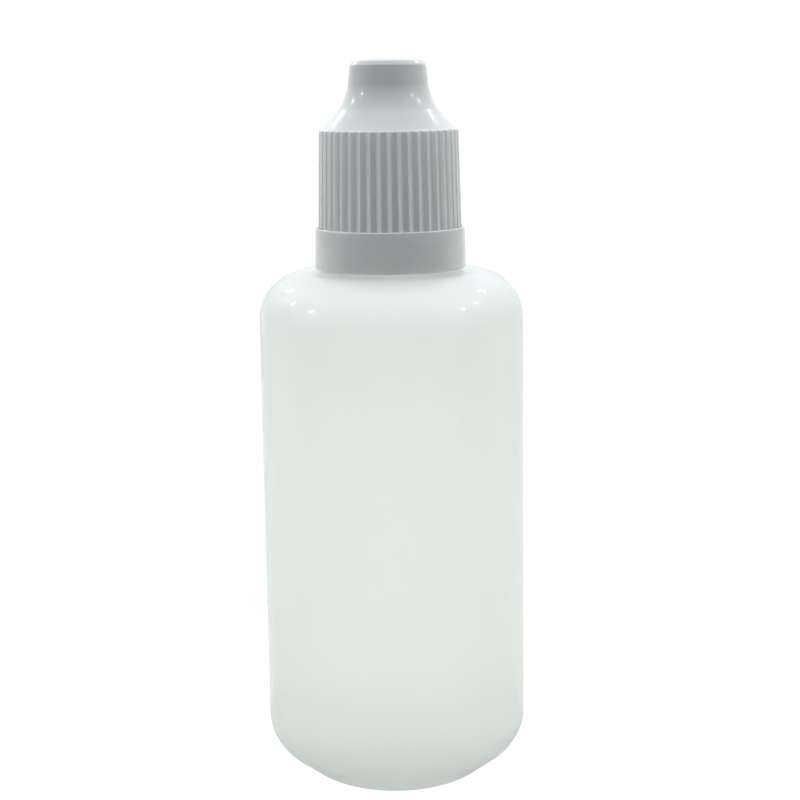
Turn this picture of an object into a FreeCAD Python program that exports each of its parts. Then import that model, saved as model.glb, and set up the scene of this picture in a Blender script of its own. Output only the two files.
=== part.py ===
import FreeCAD, Part
import math
import os

# Squeeze dropper bottle with a press-and-turn cap. Millimetres, +Z up, the bottle standing
# on z = 0 with its axis on the origin. Profiles are (radius, height) in the XZ half-plane.

# Bottle body
BODY_R = 19.0
BODY_WALL = 1.0
SHOULDER_Z = 75.1  # the flat of the shoulder, round the foot of the neck
SHOULDER_ROUND = 6.8
SHOULDER_RISE = 0.1  # the shoulder's flat climbs this much from its edge to the neck
HEEL_W = 7.8  # the soft slope between the standing foot and the wall
HEEL_H = 6.1
HEEL_LOWER_ROUND = 8.0
HEEL_UPPER_ROUND = 6.0
FOOT_W = 4.0  # from the heel's lower corner in to the dished middle
DISH_SLOPE_W = 1.6
DISH_H = 0.9

# Neck, its tamper bead and its thread
NECK_R = 6.3
NECK_WALL = 1.4
NECK_H = 14.5  # above the shoulder
NECK_FOOT_EXTRA = 0.6  # the neck is thicker under the bead
NECK_FOOT_ROUND = 0.6
BEAD_REACH = 1.9  # outwards from the neck
BEAD_BASE = 1.95  # above the shoulder
BEAD_H = 0.95
BEAD_SLOPE = 0.25
EDGE_ROUND = 0.25
THREAD_PITCH = 2.5
THREAD_DEPTH = 0.8
THREAD_ROOT_W = 1.3
THREAD_CREST_W = 0.7
THREAD_ROOTING = 0.25  # how deep each thread is buried in its own wall
THREAD_START = 6.9  # centre of the neck thread's lower end, above the shoulder
NECK_TURNS = 1.75
CAP_TURNS = 1.25
THREAD_CLEAR = 0.3  # between the flanks of the two threads
THREAD_TIP_CLEAR = 0.2  # between each thread's crest and the wall it faces

# Dropper tip
TIP_FLANGE_REACH = 0.4  # the flange stops this far inside the neck's outer wall
TIP_FLANGE_H = 0.9
PLUG_CLEAR = 0.05
PLUG_BEAD_BITE = 0.05  # the sealing beads press this far into the neck
PLUG_BEAD_H = 0.5
PLUG_BEAD_DROPS = (1.6, 4.4)  # below the flange
PLUG_LENGTH = 7.0
PLUG_WALL = 0.95
PLUG_LEAD = 0.5
PLUG_LEAD_H = 1.2
PLUG_ROOF = 1.1
NOZZLE_BASE_R = 2.6
NOZZLE_TIP_R = 1.45
NOZZLE_H = 10.95
NOZZLE_ROUND = 0.45
CHANNEL_BASE_R = 1.5
CHANNEL_TIP_R = 0.75
ORIFICE_R = 0.5
ORIFICE_LENGTH = 1.4

# Inner cap
SEAT_GAP = 0.1  # over the tip's flange
PLATE_T = 1.1
CAP_SKIRT_WALL = 0.9
CAP_SKIRT_DRAFT = 0.12
SKIRT_TO_FLANGE = 0.25  # the skirt's lower edge, over the tamper ring's flange
HOLD_RIM_REACH = 0.4  # the rim that keeps the outer cap on
HOLD_RIM_Z = 2.0  # above the skirt's lower edge
HOLD_RIM_H = 0.7
BOSS_CLEAR = 0.4  # round the nozzle
BOSS_WALL = 0.9
BOSS_ROUND = 0.6
NOZZLE_TOP_GAP = 0.25
BOSS_ROOF = 0.9
PIN_CLEAR = 0.05
PIN_LENGTH = 1.1
LUG_COUNT = 12
LUG_W_DEG = 12.0
LUG_H = 1.0
LUG_LENGTH = 1.4  # along the radius
LUG_GAP = 0.25  # between the two caps' lugs before the cap is pressed
LUG_EDGE_IN = 0.15

# Spring fingers
SPRING_H = 2.25  # free space between the inner cap's top and the outer cap's seat ring
SPRING_CONTACT = 0.02  # hairline at each end of the fingers
FINGER_COUNT = 6
FINGER_W = 1.3
FINGER_T = 0.45
FINGER_BASE_T = 0.3
FINGER_STEP = 0.08  # the tongues are this much narrower than their base on each side
FINGER_SWEEP_DEG = 44.0
FINGER_CLEAR = 0.8  # outside the boss

# Outer cap
PRESS_TRAVEL = 1.1
PRESS_SPARE = 0.15  # left over the boss when the cap is fully down
SHELL_CLEAR = 0.6  # round the inner cap's skirt
SHELL_WALL = 1.0
SHELL_DRAFT = 0.3
SNAP_BITE = 0.2  # the snap bead's hold under the inner cap's rim
SNAP_GAP = 0.1
SNAP_H = 0.45
SHELL_TO_FLANGE = 0.4  # spare below the shell when the cap is fully down
RIB_COUNT = 42
RIB_DEPTH = 0.45
RIB_DRAFT = 0.36
RIB_END_ROUND = 0.28
GROOVE_FLOOR_W = 0.36
GROOVE_MOUTH_W = 0.56
RIB_EDGE_ROUND = 0.14
GROOVE_OVERRUN = 0.05  # past each end of the ribs, as a share of their height
DOME_H = 9.9  # from the ribs' upper ends to the flat top
DOME_WAIST_DROP = 5.75  # below the flat top
DOME_WAIST_CLEAR = 0.8  # round the boss
DOME_WAIST_ROUND = 7.0
DOME_TOP_IN = 0.75
DOME_TOP_ROUND = 0.8
DOME_WALL = 1.2
DOME_ROOF = 1.25
SEAT_RING_W = 1.0

# Tamper ring
RING_GAP = 0.47  # above the shoulder
RING_DRAFT = 0.16
COLLAR_CLEAR = 0.08
COLLAR_WALL = 0.33
COLLAR_DEPTH = 0.55  # the outer cap's lower edge sits this far down inside the collar
RING_WALL = 1.0
FLANGE_T = 1.15
FLANGE_CLEAR = 1.15  # round the neck
FLANGE_LIFT = 0.2  # over the bead
SNAP_LUG_COUNT = 8
SNAP_LUG_W_DEG = 22.0
SNAP_LUG_BITE = 0.5
SNAP_LUG_H = 1.15
SNAP_LUG_CLEAR = 0.2
BRIDGE_COUNT = 8
BRIDGE_W = 0.6
BRIDGE_H = 0.1
BRIDGE_GAP = 0.05

# Levels and radii that follow from the sizes above
BORE_R = NECK_R - NECK_WALL
BEAD_R = NECK_R + BEAD_REACH
BEAD_Z = SHOULDER_Z + BEAD_BASE
NECK_TOP_Z = SHOULDER_Z + NECK_H
THREAD_Z = SHOULDER_Z + THREAD_START
CAP_BORE_R = NECK_R + THREAD_DEPTH + THREAD_TIP_CLEAR
CAP_THREAD_R = NECK_R + THREAD_TIP_CLEAR
SKIRT_R = CAP_BORE_R + CAP_SKIRT_WALL
FLANGE_Z = BEAD_Z + BEAD_H + FLANGE_LIFT
FLANGE_TOP_Z = FLANGE_Z + FLANGE_T
SKIRT_Z = FLANGE_TOP_Z + SKIRT_TO_FLANGE
HOLD_RIM_R = SKIRT_R + HOLD_RIM_REACH
TIP_TOP_Z = NECK_TOP_Z + TIP_FLANGE_H
NOZZLE_TOP_Z = TIP_TOP_Z + NOZZLE_H
PLATE_Z = TIP_TOP_Z + SEAT_GAP
PLATE_TOP_Z = PLATE_Z + PLATE_T
BOSS_BORE_R = NOZZLE_BASE_R + BOSS_CLEAR
BOSS_R = BOSS_BORE_R + BOSS_WALL
BOSS_CEILING_Z = NOZZLE_TOP_Z + NOZZLE_TOP_GAP
BOSS_TOP_Z = BOSS_CEILING_Z + BOSS_ROOF
LUG_OUT_R = SKIRT_R - CAP_SKIRT_DRAFT - LUG_EDGE_IN
LUG_IN_R = LUG_OUT_R - LUG_LENGTH
SEAT_Z = PLATE_TOP_Z + SPRING_H
FINGER_IN_R = BOSS_R + FINGER_CLEAR
SHELL_BORE_R = SKIRT_R + SHELL_CLEAR
SHELL_BORE_TOP_R = SHELL_BORE_R - SHELL_DRAFT
GROOVE_R = SHELL_BORE_R + SHELL_WALL
RIB_R = GROOVE_R + RIB_DEPTH
RIB_TOP_R = RIB_R - RIB_DRAFT
DOME_ROOF_Z = BOSS_TOP_Z + PRESS_TRAVEL + PRESS_SPARE
TOP_Z = DOME_ROOF_Z + DOME_ROOF
RIB_TOP_Z = TOP_Z - DOME_H
SHELL_Z = FLANGE_TOP_Z + SHELL_TO_FLANGE + PRESS_TRAVEL
COLLAR_R = RIB_R + COLLAR_CLEAR
RING_TOP_R = COLLAR_R + COLLAR_WALL
RING_R = RING_TOP_R + RING_DRAFT
RING_Z = SHOULDER_Z + RING_GAP
RING_TOP_Z = SHELL_Z + COLLAR_DEPTH

FULL_TURN = 360.0
Z_AXIS = FreeCAD.Vector(0, 0, 1)
ORIGIN = FreeCAD.Vector(0, 0, 0)


def at(radius, height):
    """Point of the XZ half-plane."""
    return FreeCAD.Vector(radius, 0, height)


def unit(vector):
    """The same direction, one millimetre long."""
    return vector * (1 / vector.Length)


def outline(corners):
    """Closed wire through (radius, height, round) corners."""
    points = [at(radius, height) for radius, height, _ in corners]
    bends = []
    for i, (_, _, rounding) in enumerate(corners):
        before = unit(points[i - 1] - points[i])
        after = unit(points[(i + 1) % len(points)] - points[i])
        half = before.getAngle(after) / 2
        reach = rounding / math.tan(half)
        sag = rounding / math.sin(half) - rounding
        middle = points[i] + (before + after) * (sag / 2 / math.cos(half))
        bends.append((points[i] + before * reach, middle, points[i] + after * reach))
    edges = []
    for i, (start, middle, end) in enumerate(bends):
        edges.append(Part.LineSegment(bends[i - 1][2], start).toShape())
        if corners[i][2]:
            edges.append(Part.Arc(start, middle, end).toShape())
    return Part.Wire(edges)


def turned(corners, degrees=FULL_TURN, start=0.0):
    """Profile turned about Z, through a full turn or through one sector."""
    solid = Part.Face(outline(corners)).revolve(ORIGIN, Z_AXIS, degrees)
    return solid.rotate(ORIGIN, Z_AXIS, start)


def block(inner, outer, low, high):
    """Square-cornered profile."""
    return [(inner, low, 0), (outer, low, 0), (outer, high, 0), (inner, high, 0)]


def ring_of(make, count, first=0.0):
    """The pieces that make(angle) gives at equal steps round the axis."""
    return [make(first + FULL_TURN * i / count) for i in range(count)]


def inset(run, wall):
    """Open run of corners moved to its left by the wall, with rounds that keep the wall even."""
    points = [at(radius, height) for radius, height, _ in run]
    sides = []
    for a, b in zip(points, points[1:]):
        along = unit(b - a)
        shift = FreeCAD.Vector(-along.z, 0, along.x) * wall
        sides.append((a + shift, along))
    moved = [(sides[0][0].x, sides[0][0].z, 0)]
    for i in range(1, len(sides)):
        (p, u), (q, v) = sides[i - 1], sides[i]
        bend = u.x * v.z - u.z * v.x
        step = ((q.x - p.x) * v.z - (q.z - p.z) * v.x) / bend
        meet = p + u * step
        rounding = run[i][2] - math.copysign(wall, bend)
        moved.append((meet.x, meet.z, max(rounding, EDGE_ROUND)))
    last = points[-1] + sides[-1][0] - points[-2]
    moved.append((last.x, last.z, 0))
    return moved


def helical(section, pitch, height):
    """Closed (radius, height) section carried round Z up a right-hand helix."""
    points = [at(radius, level) for radius, level in section]
    radius = sum(point.x for point in points) / len(points)
    path = Part.makeHelix(pitch, height, radius)
    return Part.Wire(path).makePipeShell([Part.makePolygon(points + points[:1])], True, True)


def neck_thread_width(radius):
    """Axial width of the neck's thread at a radius."""
    taper = (THREAD_ROOT_W - THREAD_CREST_W) / THREAD_DEPTH
    return THREAD_ROOT_W - taper * (radius - NECK_R)


def cap_thread_width(radius):
    """Axial width of the cap's thread at a radius: what the neck's leaves free."""
    return THREAD_PITCH - neck_thread_width(radius) - 2 * THREAD_CLEAR


def thread(inner, outer, width, start, turns):
    """Ridge between two radii, its width at each radius given by a function."""
    low, high = width(inner) / 2, width(outer) / 2
    section = [(inner, -low), (outer, -high), (outer, high), (inner, low)]
    ridge = helical(section, THREAD_PITCH, THREAD_PITCH * turns)
    return ridge.translate(FreeCAD.Vector(0, 0, start))


def flank_z(radius, depth):
    """Height of the dome's straight flank at a radius, moved into the wall by a depth."""
    foot, waist = dome_corners()[:2]
    run, rise = foot[0] - waist[0], waist[1] - foot[1]
    return foot[1] + (foot[0] - radius) * rise / run - depth * math.hypot(run, rise) / run


def dome_corners():
    """Outside of the dome, from the ribs' upper ends to the axis."""
    foot_r = RIB_TOP_R - RIB_DEPTH
    waist_r = BOSS_R + DOME_WAIST_CLEAR + DOME_WALL
    return [
        (foot_r, RIB_TOP_Z, 0),
        (waist_r, TOP_Z - DOME_WAIST_DROP, DOME_WAIST_ROUND),
        (waist_r - DOME_TOP_IN, TOP_Z, DOME_TOP_ROUND),
        (0, TOP_Z, 0),
    ]


def bottle():
    heel_r = BODY_R - HEEL_W
    foot_r = heel_r - FOOT_W
    neck_foot_r = NECK_R + NECK_FOOT_EXTRA
    body = [
        (0, DISH_H, 0),
        (foot_r - DISH_SLOPE_W, DISH_H, DISH_SLOPE_W),
        (foot_r, 0, EDGE_ROUND),
        (heel_r, 0, HEEL_LOWER_ROUND),
        (BODY_R, HEEL_H, HEEL_UPPER_ROUND),
        (BODY_R, SHOULDER_Z, SHOULDER_ROUND),
        (neck_foot_r, SHOULDER_Z + SHOULDER_RISE, NECK_FOOT_ROUND),
    ]
    neck = [
        (neck_foot_r, BEAD_Z, EDGE_ROUND),
        (BEAD_R, BEAD_Z, EDGE_ROUND),
        (BEAD_R, BEAD_Z + BEAD_H - BEAD_SLOPE, EDGE_ROUND),
        (NECK_R, BEAD_Z + BEAD_H, EDGE_ROUND),
        (NECK_R, NECK_TOP_Z, EDGE_ROUND),
        (BORE_R, NECK_TOP_Z, EDGE_ROUND),
    ]
    inside = inset(body, BODY_WALL)
    mouth = [(BORE_R, inside[-1][1], BODY_WALL)]
    hollow = turned(body + neck + mouth + inside[-2::-1])
    ridge = thread(
        NECK_R - THREAD_ROOTING, NECK_R + THREAD_DEPTH, neck_thread_width, THREAD_Z, NECK_TURNS
    )
    return hollow.fuse(ridge)


def dropper_tip():
    plug_r = BORE_R - PLUG_CLEAR
    hollow_r = plug_r - PLUG_WALL
    low = NECK_TOP_Z - PLUG_LENGTH
    roof = NECK_TOP_Z - PLUG_ROOF
    orifice_z = NOZZLE_TOP_Z - ORIFICE_LENGTH
    body = turned([
        (hollow_r, low, 0),
        (plug_r - PLUG_LEAD, low, 0),
        (plug_r, low + PLUG_LEAD_H, 0),
        (plug_r, NECK_TOP_Z, 0),
        (NECK_R - TIP_FLANGE_REACH, NECK_TOP_Z, EDGE_ROUND),
        (NECK_R - TIP_FLANGE_REACH, TIP_TOP_Z, EDGE_ROUND),
        (NOZZLE_BASE_R, TIP_TOP_Z, 0),
        (NOZZLE_TIP_R, NOZZLE_TOP_Z, NOZZLE_ROUND),
        (ORIFICE_R, NOZZLE_TOP_Z, 0),
        (ORIFICE_R, orifice_z, 0),
        (CHANNEL_TIP_R, orifice_z - ORIFICE_R, 0),
        (CHANNEL_BASE_R, TIP_TOP_Z, 0),
        (hollow_r, roof, PLUG_ROOF),
    ])
    bite_r = BORE_R + PLUG_BEAD_BITE
    for drop in PLUG_BEAD_DROPS:
        middle = NECK_TOP_Z - drop
        bead = turned([
            (hollow_r + PLUG_WALL / 2, middle - PLUG_BEAD_H, 0),
            (bite_r, middle - PLUG_BEAD_H / 2, EDGE_ROUND),
            (bite_r, middle + PLUG_BEAD_H / 2, EDGE_ROUND),
            (hollow_r + PLUG_WALL / 2, middle + PLUG_BEAD_H, 0),
        ])
        body = body.fuse(bead)
    return body


def inner_cap():
    top_r = SKIRT_R - CAP_SKIRT_DRAFT
    rim_z = SKIRT_Z + HOLD_RIM_Z
    body = turned([
        (CAP_BORE_R, SKIRT_Z, EDGE_ROUND),
        (SKIRT_R, SKIRT_Z, EDGE_ROUND),
        (SKIRT_R, rim_z, 0),
        (HOLD_RIM_R, rim_z, 0),
        (HOLD_RIM_R, rim_z + HOLD_RIM_H / 2, 0),
        (SKIRT_R, rim_z + HOLD_RIM_H, 0),
        (top_r, PLATE_TOP_Z, EDGE_ROUND),
        (BOSS_R, PLATE_TOP_Z, EDGE_ROUND),
        (BOSS_R, BOSS_TOP_Z, BOSS_ROUND),
        (0, BOSS_TOP_Z, 0),
        (0, BOSS_CEILING_Z, 0),
        (BOSS_BORE_R, BOSS_CEILING_Z, BOSS_ROUND),
        (BOSS_BORE_R, PLATE_Z, EDGE_ROUND),
        (CAP_BORE_R, PLATE_Z, EDGE_ROUND),
    ])
    pin_r = ORIFICE_R - PIN_CLEAR
    pin_z = BOSS_CEILING_Z - NOZZLE_TOP_GAP - PIN_LENGTH
    pin = turned([
        (0, pin_z, 0),
        (pin_r, pin_z, pin_r / 2),
        (pin_r, BOSS_CEILING_Z + BOSS_ROOF / 2, 0),
        (0, BOSS_CEILING_Z + BOSS_ROOF / 2, 0),
    ])
    ridge = thread(
        CAP_THREAD_R,
        CAP_BORE_R + THREAD_ROOTING,
        cap_thread_width,
        THREAD_Z + THREAD_PITCH / 2,
        CAP_TURNS,
    )
    lug = block(LUG_IN_R, LUG_OUT_R, PLATE_TOP_Z - PLATE_T / 2, PLATE_TOP_Z + LUG_H)
    lugs = ring_of(lambda angle: turned(lug, LUG_W_DEG, angle), LUG_COUNT, -LUG_W_DEG / 2)
    return body.fuse([pin, ridge] + lugs)


def inner_cap_spring_fingers():
    low = PLATE_TOP_Z + SPRING_CONTACT
    foot_z = low + FINGER_BASE_T / 2
    in_r, out_r = FINGER_IN_R + FINGER_STEP, FINGER_IN_R + FINGER_W - FINGER_STEP
    rise = SEAT_Z - SPRING_CONTACT - FINGER_T - foot_z
    base = turned(block(FINGER_IN_R, FINGER_IN_R + FINGER_W, low, low + FINGER_BASE_T))
    section = [(in_r, 0), (out_r, 0), (out_r, FINGER_T), (in_r, FINGER_T)]
    tongue = helical(section, rise * FULL_TURN / FINGER_SWEEP_DEG, rise)
    tongue.translate(FreeCAD.Vector(0, 0, foot_z))
    tongues = ring_of(lambda angle: tongue.rotated(ORIGIN, Z_AXIS, angle), FINGER_COUNT)
    return base.fuse(tongues)


def groove():
    """One groove between two ribs, leaning in with the skirt's draft."""
    floor, mouth = GROOVE_FLOOR_W / 2, GROOVE_MOUTH_W / 2
    bend_r = RIB_R - RIB_EDGE_ROUND
    clear_r = RIB_R + RIB_DEPTH
    corner = mouth + RIB_EDGE_ROUND
    curve = RIB_EDGE_ROUND * math.sqrt(0.5)
    spots = [(GROOVE_R, floor), (bend_r, mouth), (RIB_R, corner), (clear_r, corner)]
    left = [FreeCAD.Vector(radius, side, SHELL_Z) for radius, side in spots]
    right = [FreeCAD.Vector(radius, -side, SHELL_Z) for radius, side in spots]
    middle = (bend_r + curve, corner - curve)
    edges = [
        Part.LineSegment(right[0], left[0]).toShape(),
        Part.LineSegment(left[0], left[1]).toShape(),
        Part.Arc(left[1], FreeCAD.Vector(*middle, SHELL_Z), left[2]).toShape(),
        Part.LineSegment(left[2], left[3]).toShape(),
        Part.LineSegment(left[3], right[3]).toShape(),
        Part.LineSegment(right[3], right[2]).toShape(),
        Part.Arc(right[2], FreeCAD.Vector(middle[0], -middle[1], SHELL_Z), right[1]).toShape(),
        Part.LineSegment(right[1], right[0]).toShape(),
    ]
    height = RIB_TOP_Z - SHELL_Z
    lean = FreeCAD.Vector(-RIB_DRAFT, 0, height)
    tool = Part.Face(Part.Wire(edges)).extrude(lean * (1 + 2 * GROOVE_OVERRUN))
    return tool.translate(lean * -GROOVE_OVERRUN)


def outer_cap():
    dome = dome_corners()
    inside = inset(dome, DOME_WALL)
    snap_r = HOLD_RIM_R - SNAP_BITE
    snap_top = SKIRT_Z + HOLD_RIM_Z - SNAP_GAP
    skirt = [
        (snap_r, snap_top - SNAP_H, 0),
        (SHELL_BORE_R, SHELL_Z, 0),
        (RIB_R, SHELL_Z, EDGE_ROUND),
        (RIB_TOP_R, RIB_TOP_Z, RIB_END_ROUND),
    ]
    body = turned(
        skirt
        + dome
        + [(0, DOME_ROOF_Z, 0)]
        + [(inside[2][0], DOME_ROOF_Z, EDGE_ROUND)]
        + [inside[1]]
        + [(SHELL_BORE_TOP_R, flank_z(SHELL_BORE_TOP_R, DOME_WALL), DOME_WALL)]
        + [(SHELL_BORE_R, snap_top, 0)]
        + [(snap_r, snap_top, 0)]
    )
    grooves = ring_of(lambda angle: groove().rotate(ORIGIN, Z_AXIS, angle), RIB_COUNT)
    ribbed = body.cut(Part.makeCompound(grooves))
    seat_out = FINGER_IN_R + (FINGER_W + SEAT_RING_W) / 2
    seat_in = seat_out - SEAT_RING_W
    seat = turned([
        (seat_in, SEAT_Z, 0),
        (seat_out, SEAT_Z, 0),
        (seat_out, flank_z(seat_out, DOME_WALL / 2), 0),
        (seat_in, flank_z(seat_in, DOME_WALL / 2), 0),
    ])
    lug_z = PLATE_TOP_Z + LUG_H + LUG_GAP
    lug_out = SHELL_BORE_TOP_R + SHELL_WALL / 2
    lug = [
        (LUG_IN_R, lug_z, 0),
        (lug_out, lug_z, 0),
        (lug_out, flank_z(lug_out, DOME_WALL / 2), 0),
        (LUG_IN_R, flank_z(LUG_IN_R, DOME_WALL / 2), 0),
    ]
    half_step = FULL_TURN / LUG_COUNT / 2 - LUG_W_DEG / 2
    lugs = ring_of(lambda angle: turned(lug, LUG_W_DEG, angle), LUG_COUNT, half_step)
    return ribbed.fuse([seat] + lugs)


def tamper_ring():
    flange_r = NECK_R + FLANGE_CLEAR
    wall_r = RING_R - RING_WALL
    body = turned([
        (wall_r, RING_Z, EDGE_ROUND / 2),
        (RING_R, RING_Z, EDGE_ROUND),
        (RING_TOP_R, RING_TOP_Z, EDGE_ROUND / 2),
        (COLLAR_R, RING_TOP_Z, EDGE_ROUND / 2),
        (COLLAR_R, FLANGE_TOP_Z, EDGE_ROUND),
        (flange_r, FLANGE_TOP_Z, EDGE_ROUND),
        (flange_r, FLANGE_Z, EDGE_ROUND),
        (wall_r, FLANGE_Z, EDGE_ROUND),
    ])
    lug_top = BEAD_Z - SNAP_LUG_CLEAR
    lug = [
        (BEAD_R - SNAP_LUG_BITE, lug_top - SNAP_LUG_H / 2, 0),
        (wall_r + RING_WALL / 2, lug_top - SNAP_LUG_H, 0),
        (wall_r + RING_WALL / 2, lug_top, 0),
        (BEAD_R - SNAP_LUG_BITE, lug_top, 0),
    ]
    lugs = ring_of(lambda angle: turned(lug, SNAP_LUG_W_DEG, angle), SNAP_LUG_COUNT)
    bridge_top = FLANGE_TOP_Z + BRIDGE_H
    bridge = Part.makeBox(
        BRIDGE_W, BRIDGE_W, BRIDGE_H + FLANGE_T / 2,
        FreeCAD.Vector(CAP_BORE_R + BRIDGE_GAP, -BRIDGE_W / 2, FLANGE_Z + FLANGE_T / 2),
    )
    bridges = ring_of(lambda angle: bridge.rotated(ORIGIN, Z_AXIS, angle), BRIDGE_COUNT)
    return body.fuse(lugs + bridges)


NODES = (bottle, dropper_tip, inner_cap, inner_cap_spring_fingers, outer_cap, tamper_ring)

os.makedirs("parts", exist_ok=True)
for make_node in NODES:
    make_node().exportStep("parts/" + make_node.__name__ + ".step")
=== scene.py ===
import math

import bmesh
import bpy
from mathutils import Matrix, Vector


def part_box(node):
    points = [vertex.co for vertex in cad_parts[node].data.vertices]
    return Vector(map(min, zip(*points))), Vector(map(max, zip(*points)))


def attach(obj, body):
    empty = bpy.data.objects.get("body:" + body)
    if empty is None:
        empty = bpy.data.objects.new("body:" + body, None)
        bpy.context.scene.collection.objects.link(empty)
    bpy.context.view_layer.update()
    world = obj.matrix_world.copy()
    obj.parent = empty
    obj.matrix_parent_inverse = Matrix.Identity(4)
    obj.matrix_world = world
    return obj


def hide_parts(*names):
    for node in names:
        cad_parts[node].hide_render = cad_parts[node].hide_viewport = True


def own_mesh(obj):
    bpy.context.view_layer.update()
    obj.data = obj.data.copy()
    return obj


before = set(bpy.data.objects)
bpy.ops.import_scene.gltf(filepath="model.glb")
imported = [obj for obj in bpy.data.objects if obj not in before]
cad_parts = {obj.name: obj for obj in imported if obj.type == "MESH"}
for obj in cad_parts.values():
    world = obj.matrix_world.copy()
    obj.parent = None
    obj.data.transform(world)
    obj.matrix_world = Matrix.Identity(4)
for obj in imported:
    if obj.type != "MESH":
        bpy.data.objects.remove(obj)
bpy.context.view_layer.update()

# Lengths below are millimetres on the bottle's own axis; MM brings them to metres.
MM = 0.001
FULL_TURN = 2 * math.pi
TURN_STEPS = 168
ROUND_STEPS = 6  # segments of a rounding of 1 mm
HELIX_STEPS = 72  # to one turn of a thread
WELD = 0.002  # points nearer than this become one
SHARP = math.radians(50)  # edges that turn by more than this stay crisp

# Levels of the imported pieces
NECK_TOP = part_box("bottle")[1].z / MM
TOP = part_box("outer_cap")[1].z / MM
SKIRT_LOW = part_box("outer_cap")[0].z / MM
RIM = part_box("tamper_ring")[1].z / MM
BAND_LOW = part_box("tamper_ring")[0].z / MM
INNER_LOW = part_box("inner_cap")[0].z / MM
INNER_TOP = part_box("inner_cap")[1].z / MM
FINGER_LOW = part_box("inner_cap_spring_fingers")[0].z / MM
FINGER_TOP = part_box("inner_cap_spring_fingers")[1].z / MM
FINGER_PLAY = 0.02  # under the fingers and over them
PLATE_TOP = FINGER_LOW - FINGER_PLAY
SEAT = FINGER_TOP + FINGER_PLAY

# Bottle, neck and thread
BODY_R = 19.0
WALL = 1.0
SHOULDER = NECK_TOP - 14.5
NECK_R = 6.3
BORE_R = 4.9
BEAD_R = 8.2
BEAD = SHOULDER + 1.95
THREAD_START = SHOULDER + 6.9
THREAD_PITCH = 2.5
THREAD_TURNS = 1.75

# Caps and ring
RIBS = 42
STEPS_PER_RIB = 16
GROOVE_SHARE = 0.23  # half of a groove's width, as a share of the ribs' spacing
RIB_TOP = TOP - 9.9
HOLD_RIM = INNER_LOW + 2.0
CAP_BORE_R = 7.3
LUGS = 12
LUG_R = 6.53
FINGERS = 6
FINGER_THICK = 0.45
SNAPS = 8
FLANGE_TOP = SHOULDER + 4.25
BAND_BORE_R = 9.82

# Light
WHITE = 1.05  # backdrop and floor, as the camera sees them
LIGHT_TINT = (0.985, 1.0, 0.975)
SKY_TINT = (0.94, 0.985, 1.03)
LAMP_DISTANCE = 0.6
LAMP_SIZE = (0.03, 0.05)
LAMP_WATTS = 0.12
LAMP_AIMS = [
    (-0.86, -0.14, 0.49), (-0.80, 0.32, 0.49), (-0.54, 0.68, 0.50),
    (0.80, -0.22, 0.56), (0.80, 0.09, 0.59), (0.60, 0.50, 0.62),
]


# ---------------------------------------------------------------- shapes


def finish_mesh(bm, name):
    """Weld, face outwards and hand the shape over as a smooth piece."""
    bmesh.ops.remove_doubles(bm, verts=bm.verts, dist=WELD * MM)
    bmesh.ops.dissolve_degenerate(bm, dist=WELD / 2 * MM, edges=bm.edges)
    bmesh.ops.recalc_face_normals(bm, faces=bm.faces)
    mesh = bpy.data.meshes.new(name)
    bm.to_mesh(mesh)
    bm.free()
    mesh.shade_smooth()
    mesh.set_sharp_from_angle(angle=SHARP)
    piece = bpy.data.objects.new(name, mesh)
    bpy.context.scene.collection.objects.link(piece)
    return piece


def ring_edges(bm, radius, height):
    """The edges of the circle at one radius and height."""
    near = 0.01 * MM

    def on_circle(vert):
        flat = math.hypot(vert.co.x, vert.co.y)
        return abs(flat - radius * MM) < near and abs(vert.co.z - height * MM) < near

    return [e for e in bm.edges if all(on_circle(v) for v in e.verts)]


def turn(corners, steps=TURN_STEPS):
    """Turn a profile of (radius, height, round) corners about the axis and round its corners."""
    bm = bmesh.new()
    verts = [bm.verts.new((r * MM, 0, z * MM)) for r, z, _ in corners]
    edges = [
        bm.edges.new((a, b)) for a, b in zip(verts, verts[1:] + verts[:1])
        if a.co.xy.length > 0 or b.co.xy.length > 0
    ]
    bmesh.ops.spin(
        bm, geom=verts + edges, cent=(0, 0, 0), axis=(0, 0, 1), angle=FULL_TURN,
        steps=steps, use_merge=True,
    )
    bmesh.ops.remove_doubles(bm, verts=bm.verts, dist=WELD * MM)
    bmesh.ops.recalc_face_normals(bm, faces=bm.faces)
    for i, (radius, height, rounding) in enumerate(corners):
        if rounding and radius:
            before, after = corners[i - 1], corners[(i + 1) % len(corners)]
            a = Vector((before[0] - radius, before[1] - height))
            b = Vector((after[0] - radius, after[1] - height))
            reach = rounding / math.tan(a.angle(b) / 2)
            count = max(3, min(16, round(ROUND_STEPS * math.sqrt(rounding))))
            bmesh.ops.bevel(
                bm, geom=ring_edges(bm, radius, height), offset=reach * MM,
                offset_type="OFFSET", affect="EDGES", segments=count, profile=0.5,
                material=-1, clamp_overlap=True,
            )
    return bm


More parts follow.
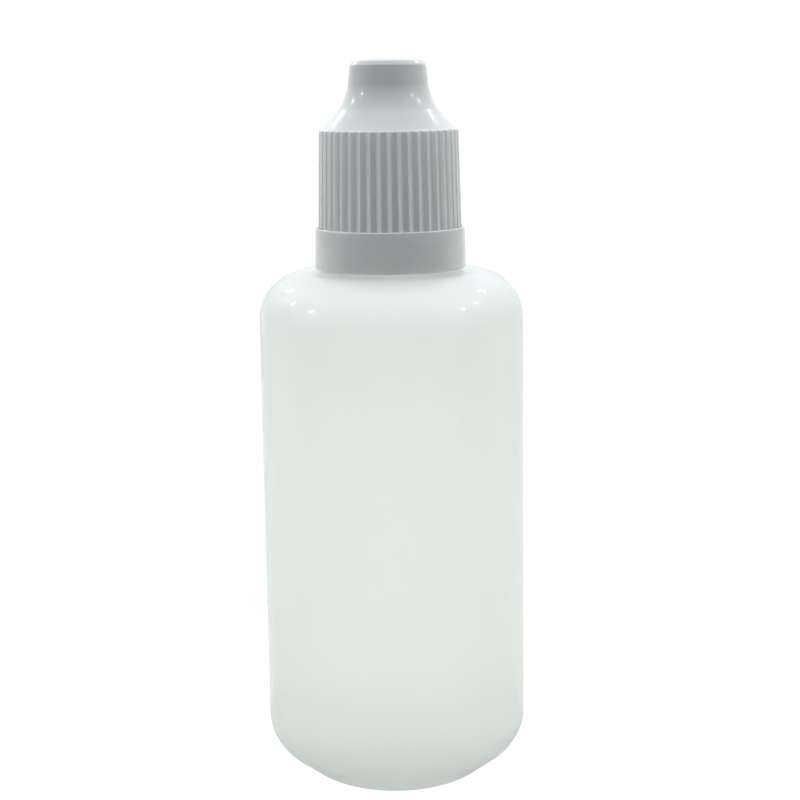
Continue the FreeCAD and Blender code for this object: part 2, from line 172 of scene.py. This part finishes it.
def bottle_shape():
    """The blown body, its threaded neck and its dished base, as one wall."""
    neck_foot, heel, level_step = 6.9, BODY_R - 7.8, 0.12
    thread_low, thread_high = BEAD + 1.4, NECK_TOP - 0.8
    levels = round((thread_high - thread_low) / level_step)
    bm = turn([
        (0, 0.9, 0),
        (heel - 5.6, 0.9, 1.6),
        (heel - 4.0, 0, 0.25),
        (heel, 0, 8.0),
        (BODY_R, 6.1, 6.0),
        (BODY_R, SHOULDER, 6.8),
        (neck_foot, SHOULDER + 0.1, 0.6),
        (neck_foot, BEAD, 0.2),
        (BEAD_R, BEAD, 0.25),
        (BEAD_R, BEAD + 0.7, 0.2),
        (NECK_R, BEAD + 0.95, 0.25),
        *[(NECK_R, thread_low + level_step * i, 0) for i in range(levels)],
        (NECK_R, NECK_TOP, 0.25),
        (BORE_R, NECK_TOP, 0.25),
        (BORE_R, SHOULDER - 0.95, 1.0),
        (BODY_R - WALL, SHOULDER - WALL, 5.8),
        (BODY_R - WALL, 6.6, 5.0),
        (heel - 0.2, 1.0, 7.0),
        (heel - 3.6, 1.0, 0.5),
        (heel - 5.4, 1.9, 1.2),
        (0, 1.9, 0),
    ])
    raise_thread(bm, thread_low, thread_high)
    return bm


def raise_thread(bm, low, high):
    """Lift a right-hand thread off the neck, running out softly at both ends."""
    depth, root, crest = 0.8, 1.3, 0.7
    run_out, end_height = 0.09, 0.35  # of a turn, and of the depth
    near = 0.01
    for vert in bm.verts:
        z = vert.co.z / MM
        radius = vert.co.xy.length / MM
        if not low - near <= z <= high + near or abs(radius - NECK_R) >= near:
            continue
        around = math.atan2(vert.co.y, vert.co.x) / FULL_TURN % 1
        lap = round((z - THREAD_START) / THREAD_PITCH - around) + around
        if not -run_out < lap < THREAD_TURNS + run_out:
            continue
        lap = min(max(lap, 0), THREAD_TURNS)
        aside = abs(z - THREAD_START - lap * THREAD_PITCH)
        flank = (root / 2 - aside) / ((root - crest) / 2)
        ends = min(lap, THREAD_TURNS - lap) / run_out + end_height
        lift = depth * min(max(flank, 0), 1) * min(max(ends, 0), 1)
        vert.co.xy *= (radius + lift) / radius


def tip_shape():
    """The press-in dropper tip: hollow plug with two sealing beads, flange and nozzle."""
    plug, hollow, flange = BORE_R - 0.05, BORE_R - 1.0, NECK_R - 0.4
    low, top = NECK_TOP - 7.0, NECK_TOP + 0.9
    nozzle, orifice = top + 10.95, 0.5
    beads = []
    for drop in (4.4, 1.6):
        middle = NECK_TOP - drop
        beads += [
            (plug, middle - 0.5, 0.1), (BORE_R, middle - 0.2, 0.1),
            (BORE_R, middle + 0.2, 0.1), (plug, middle + 0.5, 0.1),
        ]
    return turn([
        (hollow, low, 0.1),
        (plug - 0.5, low, 0.15),
        (plug, low + 1.2, 0.3),
        *beads,
        (plug, NECK_TOP, 0),
        (flange, NECK_TOP, 0.2),
        (flange, top, 0.25),
        (2.6, top, 0.3),
        (1.45, nozzle, 0.45),
        (orifice, nozzle, 0.08),
        (orifice, nozzle - 1.4, 0),
        (0.75, nozzle - 1.9, 0),
        (1.5, top, 0.3),
        (hollow, NECK_TOP - 1.1, 1.0),
    ])


def inner_cap_shape():
    """The threaded inner cap: skirt with a holding rim, plate, boss and sealing pin."""
    skirt, rim, boss, boss_bore, pin = 8.2, 8.6, 3.9, 3.0, 0.45
    plate_low, pin_low = PLATE_TOP - 1.1, INNER_TOP - 2.25
    return turn([
        (CAP_BORE_R, INNER_LOW, 0.2),
        (skirt, INNER_LOW, 0.2),
        (skirt, HOLD_RIM, 0),
        (rim, HOLD_RIM, 0.06),
        (rim, HOLD_RIM + 0.35, 0.1),
        (skirt, HOLD_RIM + 0.7, 0),
        (skirt - 0.12, PLATE_TOP, 0.25),
        (boss, PLATE_TOP, 0.25),
        (boss, INNER_TOP, 0.6),
        (0, INNER_TOP, 0),
        (0, pin_low, 0),
        (pin, pin_low, 0.2),
        (pin, INNER_TOP - 0.9, 0),
        (boss_bore, INNER_TOP - 0.9, 0.6),
        (boss_bore, plate_low, 0.25),
        (CAP_BORE_R, plate_low, 0.25),
    ])


def closed_section(bm, corners):
    """A flat face through (radius, height) corners, and everything that it is made of."""
    face = bm.faces.new([bm.verts.new((r * MM, 0, z * MM)) for r, z in corners])
    return [face, *face.edges, *face.verts]


def coil(corners, start, pitch, turns):
    """Carry a small closed section round and up a right-hand helix, with both ends closed."""
    bm = bmesh.new()
    steps = max(4, round(turns * HELIX_STEPS))
    bmesh.ops.spin(
        bm, geom=closed_section(bm, corners), cent=(0, 0, 0), axis=(0, 0, 1),
        angle=FULL_TURN * turns, steps=steps, dvec=(0, 0, pitch * turns / steps * MM),
    )
    close_ends(bm)
    bmesh.ops.translate(bm, verts=bm.verts, vec=(0, 0, start * MM))
    return bm


def close_ends(bm):
    """Put a face over every open loop."""
    rims = [e for e in bm.edges if e.is_boundary]
    if rims:
        bmesh.ops.holes_fill(bm, edges=rims, sides=len(rims))
    bmesh.ops.recalc_face_normals(bm, faces=bm.faces)


def inner_thread_shape():
    """The cap's own thread, between the turns of the neck's."""
    crest, root, crest_half, root_half, turns = 6.5, CAP_BORE_R + 0.25, 0.31, 0.7, 1.25
    section = [(crest, -crest_half), (root, -root_half), (root, root_half), (crest, crest_half)]
    return coil(section, THREAD_START + THREAD_PITCH / 2, THREAD_PITCH, turns)


def blocks(corners, degrees, count, first, rounding=0.1):
    """The same small block at equal steps round the axis, with its edges softened."""
    bm = bmesh.new()
    corner_angle = 0.8  # radians
    for i in range(count):
        one = bmesh.new()
        bmesh.ops.spin(
            one, geom=closed_section(one, corners), cent=(0, 0, 0), axis=(0, 0, 1),
            angle=math.radians(degrees), steps=4,
        )
        close_ends(one)
        sharp = [
            e for e in one.edges
            if len(e.link_faces) == 2 and e.calc_face_angle() > corner_angle
        ]
        bmesh.ops.bevel(
            one, geom=sharp, offset=rounding * MM, offset_type="OFFSET", affect="EDGES",
            segments=2, profile=0.5, material=-1, clamp_overlap=True,
        )
        add_turned(bm, one, math.radians(first) + FULL_TURN * i / count)
    return bm


def add_turned(bm, other, angle):
    """Turn another shape about the axis and add it to this one."""
    turned = Matrix.Rotation(angle, 3, "Z")
    bmesh.ops.rotate(other, cent=(0, 0, 0), matrix=turned, verts=other.verts)
    mesh = bpy.data.meshes.new("part")
    other.to_mesh(mesh)
    other.free()
    bm.from_mesh(mesh)
    bpy.data.meshes.remove(mesh)


def inner_lugs_shape():
    """The drive lugs that stand on the inner cap's plate."""
    low, high, outside = PLATE_TOP - 0.5, PLATE_TOP + 1.0, 7.93
    return blocks(
        [(LUG_R, low), (outside, low), (outside, high), (LUG_R, high)], 12, LUGS, -6
    )


def outer_lugs_shape():
    """The drive lugs that hang under the outer cap's cone, between the inner cap's."""
    low, outside = PLATE_TOP + 1.25, 8.9
    return blocks(
        [(LUG_R, low), (outside, low), (outside, low + 2.2), (LUG_R, low + 4.2)], 12, LUGS, 9
    )


def fingers_shape():
    """The ring on the inner cap's top and the six sprung tongues that rise from it."""
    inside, outside, ring_height, soft = 4.7, 6.0, 0.3, 0.06
    inset, sunk, sweep = 0.08, 0.15, 44 / 360
    low = PLATE_TOP + FINGER_PLAY
    high = low + ring_height
    bm = turn([
        (inside, low, soft), (outside, low, soft), (outside, high, soft), (inside, high, soft),
    ])
    rise = FINGER_TOP - FINGER_THICK - low - sunk
    near, far = inside + inset, outside - inset
    section = [(near, 0), (far, 0), (far, FINGER_THICK), (near, FINGER_THICK)]
    for i in range(FINGERS):
        tongue = coil(section, low + sunk, rise / sweep, sweep)
        add_turned(bm, tongue, FULL_TURN * i / FINGERS)
    return bm


def cap_profile():
    """Outside of the outer cap from its lower edge to the middle of its top, then its inside."""
    bore, snap, cone_foot, plate = 8.8, 8.4, 9.44, TOP - 1.25
    seat_inside, seat_outside = 4.85, 5.85
    return [
        (bore, SKIRT_LOW, 0.1),
        (10.25, SKIRT_LOW, 0.2),
        (9.89, RIB_TOP, 0.3),
        (cone_foot, RIB_TOP, 0.12),
        (5.9, TOP - 5.75, 7.0),
        (5.42, TOP - 1.0, 0.25),
        (5.0, TOP - 0.4, 0.5),
        (4.0, TOP - 0.02, 1.0),
        (0, TOP, 0),
        (0, plate, 0),
        (4.1, plate, 0.4),
        (4.7, TOP - 6.1, 5.0),
        (seat_inside, SEAT + 1.0, 0),
        (seat_inside, SEAT, 0.1),
        (seat_outside, SEAT, 0.1),
        (seat_outside, SEAT + 1.0, 0.2),
        (8.5, RIB_TOP - 0.65, 0.6),
        (bore, HOLD_RIM, 0),
        (snap, HOLD_RIM - 0.1, 0.08),
        (snap, HOLD_RIM - 0.55, 0.1),
    ]


def press_grooves(bm, low, high):
    """Press upright grooves into the skirt between two levels, leaving wide flat ribs.

    How deep each point went is kept on it as the mask for the painted highlight and painted glow
    in the grooves, where the wall is thinner.
    """
    floor_low, floor_high, squareness = 9.93, 9.57, 0.6
    outer_wall = 9.58  # points nearer to the axis than this are not on the ribs
    groove = bm.verts.layers.float.new("groove")
    for vert in bm.verts:
        z = vert.co.z / MM
        radius = vert.co.xy.length / MM
        if low <= z <= high and radius > outer_wall:
            floor = floor_low + (floor_high - floor_low) * (z - low) / (high - low)
            place = (math.atan2(vert.co.y, vert.co.x) / FULL_TURN * RIBS) % 1
            aside = abs(place - 0.5) / GROOVE_SHARE
            if aside < 1 and radius > floor:
                depth = (0.5 + 0.5 * math.cos(math.pi * aside)) ** squareness
                vert[groove] = depth
                vert.co.xy *= (radius - (radius - floor) * depth) / radius


def outer_cap_shape():
    """The outer cap: a turned shell with grooves pressed into its skirt."""
    bm = turn(cap_profile(), steps=RIBS * STEPS_PER_RIB)
    press_grooves(bm, SKIRT_LOW - 0.01, RIB_TOP + 0.01)
    return bm


def band_shape():
    """The tamper ring: band, thin collar, flange over the neck's bead."""
    collar, flange, flange_low = 10.33, 7.45, FLANGE_TOP - 1.15
    return turn([
        (BAND_BORE_R, BAND_LOW, 0.12),
        (10.82, BAND_LOW, 0.25),
        (10.66, RIM, 0.16),
        (collar, RIM, 0.15),
        (collar, FLANGE_TOP, 0.2),
        (flange, FLANGE_TOP, 0.2),
        (flange, flange_low, 0.2),
        (BAND_BORE_R, flange_low, 0.2),
    ])


def snap_lugs_shape():
    """The wedges inside the band that catch under the neck's bead."""
    top, thick, tip, foot = BEAD - 0.2, 1.15, BEAD_R - 0.5, BAND_BORE_R + 0.5
    corners = [(tip, top - thick / 2), (foot, top - thick), (foot, top), (tip, top)]
    return blocks(corners, 22, SNAPS, 0)


def bridges_shape():
    """The stubs that the broken bridges leave on the band's flange."""
    low, high = FLANGE_TOP - 0.5, FLANGE_TOP + 0.1
    corners = [(7.35, low), (7.95, low), (7.95, high), (7.35, high)]
    return blocks(corners, 4.5, SNAPS, -2.25, rounding=0.05)


# ---------------------------------------------------------------- finishes


def new_finish(name):
    """A new material with its nodes, links and main shader."""
    finish = bpy.data.materials.new(name)
    finish.use_nodes = True
    nodes = finish.node_tree.nodes
    return finish, nodes, finish.node_tree.links, nodes["Principled BSDF"]


def noise(nodes, links, scale, detail):
    """Noise on the piece's own coordinates; scale counts features to the metre."""
    where = nodes.new("ShaderNodeTexCoord")
    field = nodes.new("ShaderNodeTexNoise")
    field.inputs["Scale"].default_value = scale
    field.inputs["Detail"].default_value = detail
    links.new(where.outputs["Object"], field.inputs["Vector"])
    return field.outputs["Fac"]


def spread(nodes, links, value, low, high, to_low, to_high, smooth=False):
    """Carry a value from one range to another."""
    ramp = nodes.new("ShaderNodeMapRange")
    ramp.interpolation_type = "SMOOTHSTEP" if smooth else "LINEAR"
    for name, number in (
        ("From Min", low), ("From Max", high), ("To Min", to_low), ("To Max", to_high)
    ):
        ramp.inputs[name].default_value = number
    links.new(value, ramp.inputs["Value"])
    return ramp.outputs["Result"]


def blend(nodes, links, share, first, second):
    """Mix two colours, each a fixed colour or another node's output."""
    mix = nodes.new("ShaderNodeMix")
    mix.data_type = "RGBA"
    links.new(share, mix.inputs["Factor"])
    for socket, colour in ((mix.inputs[6], first), (mix.inputs[7], second)):
        if isinstance(colour, tuple):
            socket.default_value = (*colour, 1)
        else:
            links.new(colour, socket)
    return mix.outputs[2]


def calculate(nodes, links, operation, first, second):
    """One sum of two values, each a number or another node's output."""
    node = nodes.new("ShaderNodeMath")
    node.operation = operation
    for socket, value in zip(node.inputs, (first, second)):
        if isinstance(value, (int, float)):
            socket.default_value = value
        else:
            links.new(value, socket)
    return node.outputs[0]


def bump(nodes, links, shader, *layers):
    """Stack unevenness of a given height in metres, coarse first."""
    normal = None
    for height, distance in layers:
        node = nodes.new("ShaderNodeBump")
        node.inputs["Strength"].default_value = 1.0
        node.inputs["Distance"].default_value = distance
        links.new(height, node.inputs["Height"])
        if normal is not None:
            links.new(normal, node.inputs["Normal"])
        normal = node.outputs["Normal"]
    links.new(normal, shader.inputs["Normal"])


def milky_polyethylene():
    """Natural polyethylene: cloudy, lets light through, glossy skin, uneven from blowing, with
    painted light on the shoulder.
    """
    finish, nodes, links, shader = new_finish("milky_polyethylene")
    warm, cool, painted_shoulder_light = (0.955, 0.975, 0.945), (0.97, 0.975, 0.965), (0.96, 0.975, 0.98)
    speck = (0.55, 0.56, 0.52)
    clouds = spread(nodes, links, noise(nodes, links, 70, 3), 0.35, 0.65, 0, 1, smooth=True)
    body = blend(nodes, links, clouds, warm, cool)
    where = nodes.new("ShaderNodeTexCoord")
    height = nodes.new("ShaderNodeSeparateXYZ")
    links.new(where.outputs["Object"], height.inputs["Vector"])
    # Painted light: going up to the shoulder, the body is painted bluer and paler, as light from
    # above makes it look.
    painted_shoulder_share = spread(
        nodes, links, height.outputs["Z"], (SHOULDER - 9) * MM, (SHOULDER - 2) * MM, 0, 1,
        smooth=True,
    )
    with_painted_shoulder = blend(nodes, links, painted_shoulder_share, body, painted_shoulder_light)
    specks = nodes.new("ShaderNodeTexVoronoi")
    specks.inputs["Scale"].default_value = 130
    links.new(where.outputs["Object"], specks.inputs["Vector"])
    dust = spread(nodes, links, specks.outputs["Distance"], 0.02, 0.035, 0.5, 0)
    links.new(blend(nodes, links, dust, with_painted_shoulder, speck), shader.inputs["Base Color"])
    links.new(
        spread(nodes, links, noise(nodes, links, 160, 3), 0.3, 0.7, 0.31, 0.38),
        shader.inputs["Roughness"],
    )
    bump(
        nodes, links, shader,
        (noise(nodes, links, 90, 1), 0.00008), (noise(nodes, links, 1500, 2), 0.000004),
    )
    shader.inputs["Transmission Weight"].default_value = 0.8
    shader.inputs["IOR"].default_value = 1.5
    shader.inputs["Coat Weight"].default_value = 0.9
    shader.inputs["Coat Roughness"].default_value = 0.05
    haze = nodes.new("ShaderNodeBsdfTranslucent")
    haze.inputs["Color"].default_value = (0.97, 0.985, 0.97, 1)
    wall = nodes.new("ShaderNodeMixShader")
    wall.inputs["Fac"].default_value = 0.46
    links.new(shader.outputs["BSDF"], wall.inputs[1])
    links.new(haze.outputs["BSDF"], wall.inputs[2])
    links.new(wall.outputs["Shader"], nodes["Material Output"].inputs["Surface"])
    return finish


def white_polypropylene():
    """Moulded white polypropylene: a soft gloss over faint flow marks. The grooves, where the
    wall is thin, are painted paler and made to glow faintly, a painted highlight.
    """
    finish, nodes, links, shader = new_finish("white_polypropylene")
    # The third colour is a painted highlight: near-white paint for the grooves.
    grey, pale, painted_groove_highlight = (0.645, 0.66, 0.648), (0.67, 0.682, 0.673), (0.98, 0.985, 0.98)
    flow = spread(nodes, links, noise(nodes, links, 120, 3), 0.35, 0.65, 0, 1, smooth=True)
    skin = blend(nodes, links, flow, grey, pale)
    # Painted highlight: the grooves are painted near-white, most where they are deepest.
    thin = nodes.new("ShaderNodeAttribute")
    thin.attribute_name = "groove"
    links.new(
        blend(nodes, links, thin.outputs["Fac"], skin, painted_groove_highlight),
        shader.inputs["Base Color"],
    )
    # Painted glow: the grooves give off a little light of their own, standing in for light
    # through the thin wall.
    shader.inputs["Emission Color"].default_value = (0.95, 1.0, 0.98, 1)
    links.new(
        spread(nodes, links, thin.outputs["Fac"], 0, 1, 0, 0.07),
        shader.inputs["Emission Strength"],
    )
    links.new(
        spread(nodes, links, noise(nodes, links, 600, 3), 0.3, 0.7, 0.2, 0.27),
        shader.inputs["Roughness"],
    )
    bump(
        nodes, links, shader,
        (noise(nodes, links, 250, 1), 0.00002), (noise(nodes, links, 4000, 1), 0.000001),
    )
    shader.inputs["Subsurface Weight"].default_value = 0.6
    shader.inputs["Subsurface Radius"].default_value = (1.0, 1.0, 0.9)
    shader.inputs["Subsurface Scale"].default_value = 0.0003
    shader.inputs["Coat Weight"].default_value = 0.25
    shader.inputs["Coat Roughness"].default_value = 0.06
    return finish


# ---------------------------------------------------------------- pieces


def put(bm, name, body, slot, finish, *stands_for):
    """Make a shape a piece that moves with its body, in place of the nodes that it stands for."""
    piece = finish_mesh(bm, name)
    piece.data.materials.append(finish)
    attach(piece, body)
    if stands_for:
        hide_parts(*stands_for)
    return piece


cloudy = milky_polyethylene()
white = white_polypropylene()
put(bottle_shape(), "bottle_wall", "bottle", "bottle", cloudy, "bottle")
put(tip_shape(), "nozzle_and_plug", "bottle", "dropper_tip", cloudy, "dropper_tip")
put(outer_cap_shape(), "ribbed_cap", "outer_cap", "outer_cap", white, "outer_cap")
put(outer_lugs_shape(), "cap_drive_lugs", "outer_cap", "outer_cap", white, "outer_cap")
put(inner_cap_shape(), "threaded_cap", "inner_cap", "inner_cap", white, "inner_cap")
put(inner_thread_shape(), "cap_thread", "inner_cap", "inner_cap", white, "inner_cap")
put(inner_lugs_shape(), "inner_drive_lugs", "inner_cap", "inner_cap", white, "inner_cap")
fingers = put(
    fingers_shape(), "spring_fingers", "inner_cap", "inner_cap", white,
    "inner_cap_spring_fingers",
)
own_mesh(fingers)
put(band_shape(), "tamper_band", "ring", "tamper_ring", white, "tamper_ring")
put(snap_lugs_shape(), "band_snap_lugs", "ring", "tamper_ring", white, "tamper_ring")
put(bridges_shape(), "band_bridges", "ring", "tamper_ring", white, "tamper_ring")


# ---------------------------------------------------------------- setting


def camera():
    """Level with the cap, looking slightly down at the bottle. Lengths are metres."""
    distance, height = 0.2502, 0.10235
    sensor, focal_share = 36.0, 2.18375
    tilt, pan, roll = math.radians(10.465), math.radians(0.248), math.radians(-0.789)
    data = bpy.data.cameras.new("camera")
    data.sensor_width = sensor
    data.lens = focal_share * sensor
    data.clip_start = 0.01
    eye = bpy.data.objects.new("camera", data)
    bpy.context.scene.collection.objects.link(eye)
    forward = Vector((
        math.sin(pan) * math.cos(tilt), math.cos(pan) * math.cos(tilt), -math.sin(tilt)
    ))
    eye.rotation_euler = (
        forward.to_track_quat("-Z", "Y").to_matrix() @ Matrix.Rotation(roll, 3, "Z")
    ).to_euler()
    eye.location = (0, -distance, height)
    bpy.context.scene.camera = eye


def soft_box(name, place, target):
    """A small bright panel that faces the target."""
    data = bpy.data.lights.new(name, "AREA")
    data.shape = "RECTANGLE"
    data.size, data.size_y = LAMP_SIZE
    data.energy = LAMP_WATTS
    lamp = bpy.data.objects.new(name, data)
    bpy.context.scene.collection.objects.link(lamp)
    lamp.location = place
    lamp.rotation_euler = (target - place).to_track_quat("-Z", "Y").to_euler()


def seen_directly(nodes):
    """One for what the camera sees without anything between, nought for all other light."""
    return nodes.new("ShaderNodeLightPath").outputs["Is Camera Ray"]


def tent():
    """White surroundings: bright above and behind, dim in front.

    A stronger part behind reaches only light that passes through a wall.
    """
    upwards_and_back = Vector((0, 0.32, 0.8)).normalized()
    above, glow = 1.66, 1.45
    world = bpy.data.worlds.new("tent")
    world.use_nodes = True
    bpy.context.scene.world = world
    nodes, links = world.node_tree.nodes, world.node_tree.links
    where = nodes.new("ShaderNodeTexCoord")
    lean = nodes.new("ShaderNodeVectorMath")
    lean.operation = "DOT_PRODUCT"
    lean.inputs[1].default_value = upwards_and_back
    links.new(where.outputs["Generated"], lean.inputs[0])
    around = spread(nodes, links, lean.outputs["Value"], -0.44, 1, 0, above, smooth=True)
    axes = nodes.new("ShaderNodeSeparateXYZ")
    links.new(where.outputs["Generated"], axes.inputs["Vector"])
    behind = spread(nodes, links, axes.outputs["Y"], 0.45, 0.98, 0, glow, smooth=True)
    path = nodes.new("ShaderNodeLightPath")
    through = path.outputs["Is Transmission Ray"]
    lobe = calculate(nodes, links, "MULTIPLY", behind, through)
    both = calculate(nodes, links, "ADD", around, lobe)
    upward = spread(nodes, links, axes.outputs["Z"], 0, 0.6, 0, 1)
    tint = blend(nodes, links, upward, LIGHT_TINT, SKY_TINT)
    light = nodes.new("ShaderNodeVectorMath")
    light.operation = "SCALE"
    links.new(tint, light.inputs[0])
    links.new(both, light.inputs["Scale"])
    seen = blend(nodes, links, seen_directly(nodes), light.outputs["Vector"], (WHITE,) * 3)
    links.new(seen, nodes["Background"].inputs["Color"])


def floor():
    """A white sheet that looks as white as the backdrop and lights the bottle from behind it."""
    front, back = 0.07, 2.05
    bm = bmesh.new()
    bmesh.ops.create_grid(bm, x_segments=1, y_segments=1, size=3.0)
    mesh = bpy.data.meshes.new("floor")
    bm.to_mesh(mesh)
    bm.free()
    sheet = bpy.data.objects.new("floor", mesh)
    bpy.context.scene.collection.objects.link(sheet)
    paper, nodes, links, shader = new_finish("white_paper")
    shader.inputs["Base Color"].default_value = (0.06, 0.06, 0.06, 1)
    shader.inputs["Roughness"].default_value = 0.9
    shader.inputs["Emission Color"].default_value = (*LIGHT_TINT, 1)
    where = nodes.new("ShaderNodeTexCoord")
    axes = nodes.new("ShaderNodeSeparateXYZ")
    links.new(where.outputs["Object"], axes.inputs["Vector"])
    lit = spread(nodes, links, axes.outputs["Y"], -0.05, 0.05, front, back, smooth=True)
    path = nodes.new("ShaderNodeLightPath")
    through = spread(nodes, links, path.outputs["Is Transmission Ray"], 0, 1, 0.4, 1)
    lit = calculate(nodes, links, "MULTIPLY", lit, through)
    links.new(lit, shader.inputs["Emission Strength"])
    glow = nodes.new("ShaderNodeEmission")
    glow.inputs["Strength"].default_value = WHITE
    either = nodes.new("ShaderNodeMixShader")
    links.new(seen_directly(nodes), either.inputs["Fac"])
    links.new(shader.outputs["BSDF"], either.inputs[1])
    links.new(glow.outputs["Emission"], either.inputs[2])
    links.new(either.outputs["Shader"], nodes["Material Output"].inputs["Surface"])
    mesh.materials.append(paper)


camera()
tent()
floor()
shoulder_centre = Vector((0, 0, SHOULDER * MM))
for i, aim in enumerate(LAMP_AIMS):
    place = shoulder_centre + Vector(aim).normalized() * LAMP_DISTANCE
    soft_box(f"soft_box_{i}", place, shoulder_centre)
bpy.context.scene.view_settings.view_transform = "Standard"
